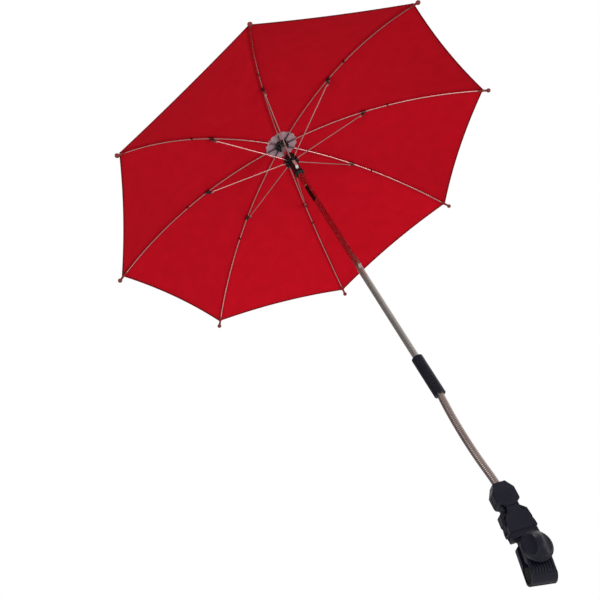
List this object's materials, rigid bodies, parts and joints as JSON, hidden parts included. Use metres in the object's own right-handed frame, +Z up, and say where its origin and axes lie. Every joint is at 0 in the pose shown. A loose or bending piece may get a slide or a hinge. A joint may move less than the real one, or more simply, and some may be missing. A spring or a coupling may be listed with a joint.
{
  "type": "pram parasol",
  "caption": "Folding pram parasol: ribbed cloth canopy on a slim mast, with a bendable coil neck, a side-release buckle and a screw clamp that grips a pram's frame tube.",
  "frame": {"origin": "middle of the clamp's tube seat, on the axis of the tube that it grips", "axes": "+Z up along the mast, -Y towards the front, where the clamp's knob is, and +X to the right; the seat's axis leans off +X, as the swung clamp leaves it"},
  "size_m": [0.6503, 0.6502, 0.8479],
  "materials": {
    "black_plastic": "moulded black, fine grain, slight sheen",
    "pad_rubber": "matt grey-black rubber",
    "bolt_steel": "zinc-plated",
    "insert_brass": "turned brass",
    "coil_chrome": "bright wound steel strip",
    "sleeve_black": "satin black moulded sleeve",
    "mast_chrome": "bright plated tube",
    "spring_steel": "bright spring steel",
    "dark_steel": "blackened spring steel",
    "hub_plastic": "black moulded nylon",
    "hinge_wire": "drawn steel wire",
    "rosette_cloth": "thin pinked gauze",
    "cap_plastic": "glossy black moulding",
    "rib_nickel": "nickel-plated steel wire",
    "tip_plastic": "brownish red moulding",
    "canopy_cloth": "fine plain-weave polyester, red"
  },
  "bodies": {
    "clamp_base": {"back_jaw": "black_plastic", "back_pad": "pad_rubber", "clamp_bolt": "bolt_steel"},
    "front_jaw": {"front_jaw": "black_plastic", "front_pad": "pad_rubber"},
    "knob": {"knob": "black_plastic", "knob_insert": "insert_brass"},
    "socket": {"buckle_socket": "black_plastic"},
    "plug": {"buckle_plug": "black_plastic", "neck_lower": "coil_chrome"},
    "prong_left": {"prong_left": "black_plastic"},
    "prong_right": {"prong_right": "black_plastic"},
    "neck_link_1": {"neck_link_1": "coil_chrome"},
    "neck_link_2": {"neck_link_2": "coil_chrome"},
    "neck_link_3": {"neck_link_3": "coil_chrome"},
    "sleeve": {"neck_upper": "coil_chrome", "connector_sleeve": "sleeve_black"},
    "mast": {"mast_tube": "mast_chrome", "slot_leaf": "dark_steel", "top_notch": "hub_plastic", "notch_wire": "hinge_wire", "rosette": "rosette_cloth", "top_cap": "cap_plastic"},
    "snap_button": {"snap_button": "spring_steel"},
    "top_catch": {"top_catch": "spring_steel"},
    "bottom_catch": {"bottom_catch": "spring_steel"},
    "runner": {"runner": "hub_plastic", "runner_wire": "hinge_wire"},
    "rib_1": {"rib_1": "rib_nickel", "rib_tip_1": "tip_plastic", "gore_1": "canopy_cloth"},
    "stretcher_1": {"stretcher_1": "rib_nickel"},
    "rib_2": {"rib_2": "rib_nickel", "rib_tip_2": "tip_plastic", "gore_2": "canopy_cloth"},
    "stretcher_2": {"stretcher_2": "rib_nickel"},
    "rib_3": {"rib_3": "rib_nickel", "rib_tip_3": "tip_plastic", "gore_3": "canopy_cloth"},
    "stretcher_3": {"stretcher_3": "rib_nickel"},
    "rib_4": {"rib_4": "rib_nickel", "rib_tip_4": "tip_plastic", "gore_4": "canopy_cloth"},
    "stretcher_4": {"stretcher_4": "rib_nickel"},
    "rib_5": {"rib_5": "rib_nickel", "rib_tip_5": "tip_plastic", "gore_5": "canopy_cloth"},
    "stretcher_5": {"stretcher_5": "rib_nickel"},
    "rib_6": {"rib_6": "rib_nickel", "rib_tip_6": "tip_plastic", "gore_6": "canopy_cloth"},
    "stretcher_6": {"stretcher_6": "rib_nickel"},
    "rib_7": {"rib_7": "rib_nickel", "rib_tip_7": "tip_plastic", "gore_7": "canopy_cloth"},
    "stretcher_7": {"stretcher_7": "rib_nickel"},
    "rib_8": {"rib_8": "rib_nickel", "rib_tip_8": "tip_plastic", "gore_8": "canopy_cloth"},
    "stretcher_8": {"stretcher_8": "rib_nickel"}
  },
  "joints": [
    {"name": "front_jaw_slide", "type": "slide", "parent": "clamp_base", "child": "front_jaw", "axis": [0, -1, 0], "range_m": [0, 0.006]},
    {"name": "knob_turn", "type": "hinge", "parent": "front_jaw", "child": "knob", "pos_m": [0.00593, 0, 0.02377], "axis": [0, -1, 0], "range_deg": [0, 1440]},
    {"name": "clamp_swing", "type": "hinge", "parent": "clamp_base", "child": "socket", "pos_m": [0.00593, 0, 0.02377], "axis": [0, 1, 0], "range_deg": [-66, 84]},
    {"name": "buckle_release", "type": "slide", "parent": "socket", "child": "plug", "axis": [0.0872, 0, 0.9962], "range_m": [0, 0.045], "deforming": ["prong_left", "prong_right"]},
    {"name": "prong_left_squeeze", "type": "hinge", "parent": "plug", "child": "prong_left", "pos_m": [0.00131, 0, 0.09143], "axis": [0, -1, 0], "range_deg": [0, 3], "stiffness_Nm_per_rad": 1},
    {"name": "prong_right_squeeze", "type": "hinge", "parent": "plug", "child": "prong_right", "pos_m": [0.02223, 0, 0.0896], "axis": [0, 1, 0], "range_deg": [0, 3], "stiffness_Nm_per_rad": 1},
    {"name": "neck_bend_1", "type": "hinge", "parent": "plug", "child": "neck_link_1", "pos_m": [0.01517, 0, 0.12937], "axis": [0, 1, 0], "range_deg": [-25, 35]},
    {"name": "neck_bend_2", "type": "hinge", "parent": "neck_link_1", "child": "neck_link_2", "pos_m": [0.01517, 0, 0.16737], "axis": [1, 0, 0], "range_deg": [-30, 30]},
    {"name": "neck_bend_3", "type": "hinge", "parent": "neck_link_2", "child": "neck_link_3", "pos_m": [0.01517, 0, 0.20537], "axis": [0, 1, 0], "range_deg": [-30, 30]},
    {"name": "neck_bend_4", "type": "hinge", "parent": "neck_link_3", "child": "sleeve", "pos_m": [0.01517, 0, 0.24337], "axis": [1, 0, 0], "range_deg": [-30, 30]},
    {"name": "mast_release", "type": "slide", "parent": "sleeve", "child": "mast", "axis": [0, 0, 1], "range_m": [0, 0.045], "deforming": ["snap_button"]},
    {"name": "button_press", "type": "slide", "parent": "mast", "child": "snap_button", "axis": [0, -1, 0], "range_m": [0, 0.0034], "stiffness_N_per_m": 800},
    {"name": "top_catch_press", "type": "slide", "parent": "mast", "child": "top_catch", "axis": [0, 1, 0], "range_m": [0, 0.0024], "stiffness_N_per_m": 800},
    {"name": "bottom_catch_press", "type": "slide", "parent": "mast", "child": "bottom_catch", "axis": [0, 1, 0], "range_m": [0, 0.0024], "stiffness_N_per_m": 800},
    {"name": "rib_1_fold", "type": "hinge", "parent": "mast", "child": "rib_1", "pos_m": [0.0228, 0.00373, 0.81037], "axis": [-0.4384, 0.8988, 0], "range_deg": [0, 70], "deforming": ["top_catch", "bottom_catch", "gore_1", "gore_2", "gore_3", "gore_4", "gore_5", "gore_6", "gore_7", "gore_8"]},
    {"name": "stretcher_1_swing", "type": "hinge", "parent": "rib_1", "child": "stretcher_1", "pos_m": [0.14738, 0.06449, 0.78994], "axis": [-0.4384, 0.8988, 0], "range_deg": [-140, 0]},
    {"name": "rib_2_fold", "type": "hinge", "parent": "mast", "child": "rib_2", "pos_m": [0.01793, 0.00804, 0.81037], "axis": [-0.9455, 0.3256, 0], "range_deg": [0, 70]},
    {"name": "stretcher_2_swing", "type": "hinge", "parent": "rib_2", "child": "stretcher_2", "pos_m": [0.06306, 0.13909, 0.78994], "axis": [-0.9455, 0.3256, 0], "range_deg": [-140, 0]},
    {"name": "rib_3_fold", "type": "hinge", "parent": "mast", "child": "rib_3", "pos_m": [0.01144, 0.00764, 0.81037], "axis": [-0.8988, -0.4384, 0], "range_deg": [0, 70]},
    {"name": "stretcher_3_swing", "type": "hinge", "parent": "rib_3", "child": "stretcher_3", "pos_m": [-0.04932, 0.13221, 0.78994], "axis": [-0.8988, -0.4384, 0], "range_deg": [-140, 0]},
    {"name": "rib_4_fold", "type": "hinge", "parent": "mast", "child": "rib_4", "pos_m": [0.00713, 0.00277, 0.81037], "axis": [-0.3256, -0.9455, 0], "range_deg": [0, 70]},
    {"name": "stretcher_4_swing", "type": "hinge", "parent": "rib_4", "child": "stretcher_4", "pos_m": [-0.12392, 0.04789, 0.78994], "axis": [-0.3256, -0.9455, 0], "range_deg": [-140, 0]},
    {"name": "rib_5_fold", "type": "hinge", "parent": "mast", "child": "rib_5", "pos_m": [0.00753, -0.00373, 0.81037], "axis": [0.4384, -0.8988, 0], "range_deg": [0, 70]},
    {"name": "stretcher_5_swing", "type": "hinge", "parent": "rib_5", "child": "stretcher_5", "pos_m": [-0.11705, -0.06449, 0.78994], "axis": [0.4384, -0.8988, 0], "range_deg": [-140, 0]},
    {"name": "rib_6_fold", "type": "hinge", "parent": "mast", "child": "rib_6", "pos_m": [0.0124, -0.00804, 0.81037], "axis": [0.9455, -0.3256, 0], "range_deg": [0, 70]},
    {"name": "stretcher_6_swing", "type": "hinge", "parent": "rib_6", "child": "stretcher_6", "pos_m": [-0.03273, -0.13909, 0.78994], "axis": [0.9455, -0.3256, 0], "range_deg": [-140, 0]},
    {"name": "rib_7_fold", "type": "hinge", "parent": "mast", "child": "rib_7", "pos_m": [0.01889, -0.00764, 0.81037], "axis": [0.8988, 0.4384, 0], "range_deg": [0, 70]},
    {"name": "stretcher_7_swing", "type": "hinge", "parent": "rib_7", "child": "stretcher_7", "pos_m": [0.07965, -0.13221, 0.78994], "axis": [0.8988, 0.4384, 0], "range_deg": [-140, 0]},
    {"name": "rib_8_fold", "type": "hinge", "parent": "mast", "child": "rib_8", "pos_m": [0.0232, -0.00277, 0.81037], "axis": [0.3256, 0.9455, 0], "range_deg": [0, 70]},
    {"name": "stretcher_8_swing", "type": "hinge", "parent": "rib_8", "child": "stretcher_8", "pos_m": [0.15425, -0.04789, 0.78994], "axis": [0.3256, 0.9455, 0], "range_deg": [-140, 0]},
    {"name": "runner_travel", "type": "hinge", "parent": "stretcher_1", "child": "runner", "pos_m": [0.0228, 0.00373, 0.76951], "axis": [-0.4384, 0.8988, 0], "range_deg": [0, 70]}
  ],
  "couplings": [
    {"joint": "knob_turn", "follows": "front_jaw_slide", "rad_per_m": 4188.8},
    {"joint": "stretcher_1_swing", "follows": "rib_1_fold", "ratio": -2},
    {"joint": "rib_2_fold", "follows": "rib_1_fold", "ratio": 1},
    {"joint": "stretcher_2_swing", "follows": "rib_1_fold", "ratio": -2},
    {"joint": "rib_3_fold", "follows": "rib_1_fold", "ratio": 1},
    {"joint": "stretcher_3_swing", "follows": "rib_1_fold", "ratio": -2},
    {"joint": "rib_4_fold", "follows": "rib_1_fold", "ratio": 1},
    {"joint": "stretcher_4_swing", "follows": "rib_1_fold", "ratio": -2},
    {"joint": "rib_5_fold", "follows": "rib_1_fold", "ratio": 1},
    {"joint": "stretcher_5_swing", "follows": "rib_1_fold", "ratio": -2},
    {"joint": "rib_6_fold", "follows": "rib_1_fold", "ratio": 1},
    {"joint": "stretcher_6_swing", "follows": "rib_1_fold", "ratio": -2},
    {"joint": "rib_7_fold", "follows": "rib_1_fold", "ratio": 1},
    {"joint": "stretcher_7_swing", "follows": "rib_1_fold", "ratio": -2},
    {"joint": "rib_8_fold", "follows": "rib_1_fold", "ratio": 1},
    {"joint": "stretcher_8_swing", "follows": "rib_1_fold", "ratio": -2},
    {"joint": "runner_travel", "follows": "rib_1_fold", "ratio": 1}
  ]
}
